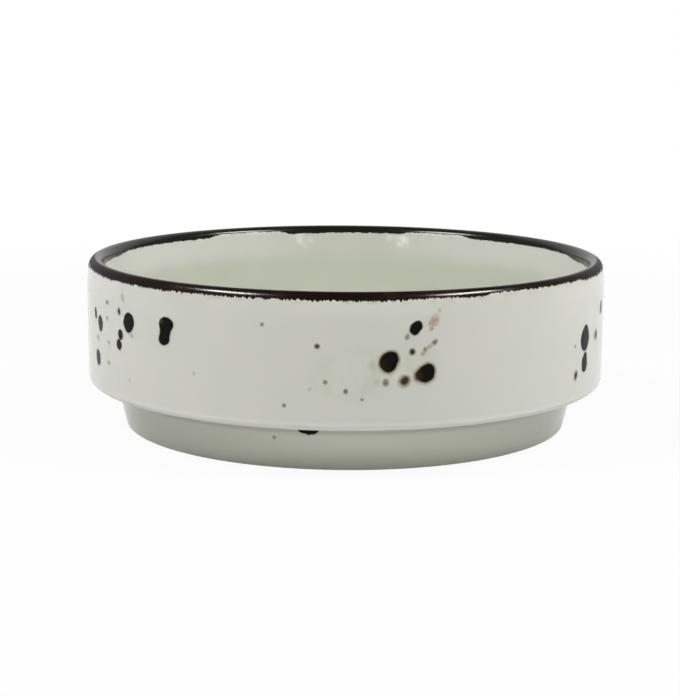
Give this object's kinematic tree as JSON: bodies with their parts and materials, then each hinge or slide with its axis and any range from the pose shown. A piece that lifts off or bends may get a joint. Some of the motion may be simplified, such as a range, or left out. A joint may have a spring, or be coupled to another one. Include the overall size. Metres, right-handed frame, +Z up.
{
  "type": "ramekin",
  "caption": "Shallow round glazed stoneware ramekin with a stepped foot for stacking, a round lip banded in dark glaze and iron spots on its pale wall.",
  "frame": {"origin": "centre of the foot's underside, on the surface that the dish stands on", "axes": "+Z up along the dish's axis of revolution; -Y is the side that faces the viewer, +X to the viewer's right"},
  "size_m": [0.12, 0.12, 0.0387],
  "materials": {
    "stoneware": "bare fired stoneware, fine grained and matt",
    "pale_glaze": "glossy creamy white glaze with faint iron specks",
    "iron_glaze": "glossy brown-black iron glaze"
  },
  "bodies": {
    "root": {"clay_body": "stoneware", "outer_glaze": "pale_glaze", "inner_glaze": "pale_glaze", "base_glaze": "pale_glaze", "rim_band": "iron_glaze", "iron_spot_01": "iron_glaze", "iron_spot_02": "iron_glaze", "iron_spot_03": "iron_glaze", "iron_spot_04": "iron_glaze", "iron_spot_05": "iron_glaze", "iron_spot_06": "iron_glaze", "iron_spot_07": "iron_glaze", "iron_spot_08": "iron_glaze", "iron_spot_09": "iron_glaze", "iron_spot_10": "iron_glaze", "iron_spot_11": "iron_glaze", "iron_spot_12": "iron_glaze", "iron_spot_13": "iron_glaze", "iron_spot_14": "iron_glaze", "iron_spot_15": "iron_glaze", "iron_spot_16": "iron_glaze", "iron_spot_17": "iron_glaze", "iron_spot_18": "iron_glaze", "iron_spot_19": "iron_glaze", "iron_spot_20": "iron_glaze", "iron_spot_21": "iron_glaze", "iron_spot_22": "iron_glaze", "iron_spot_23": "iron_glaze", "iron_spot_24": "iron_glaze"}
  },
  "joints": []
}
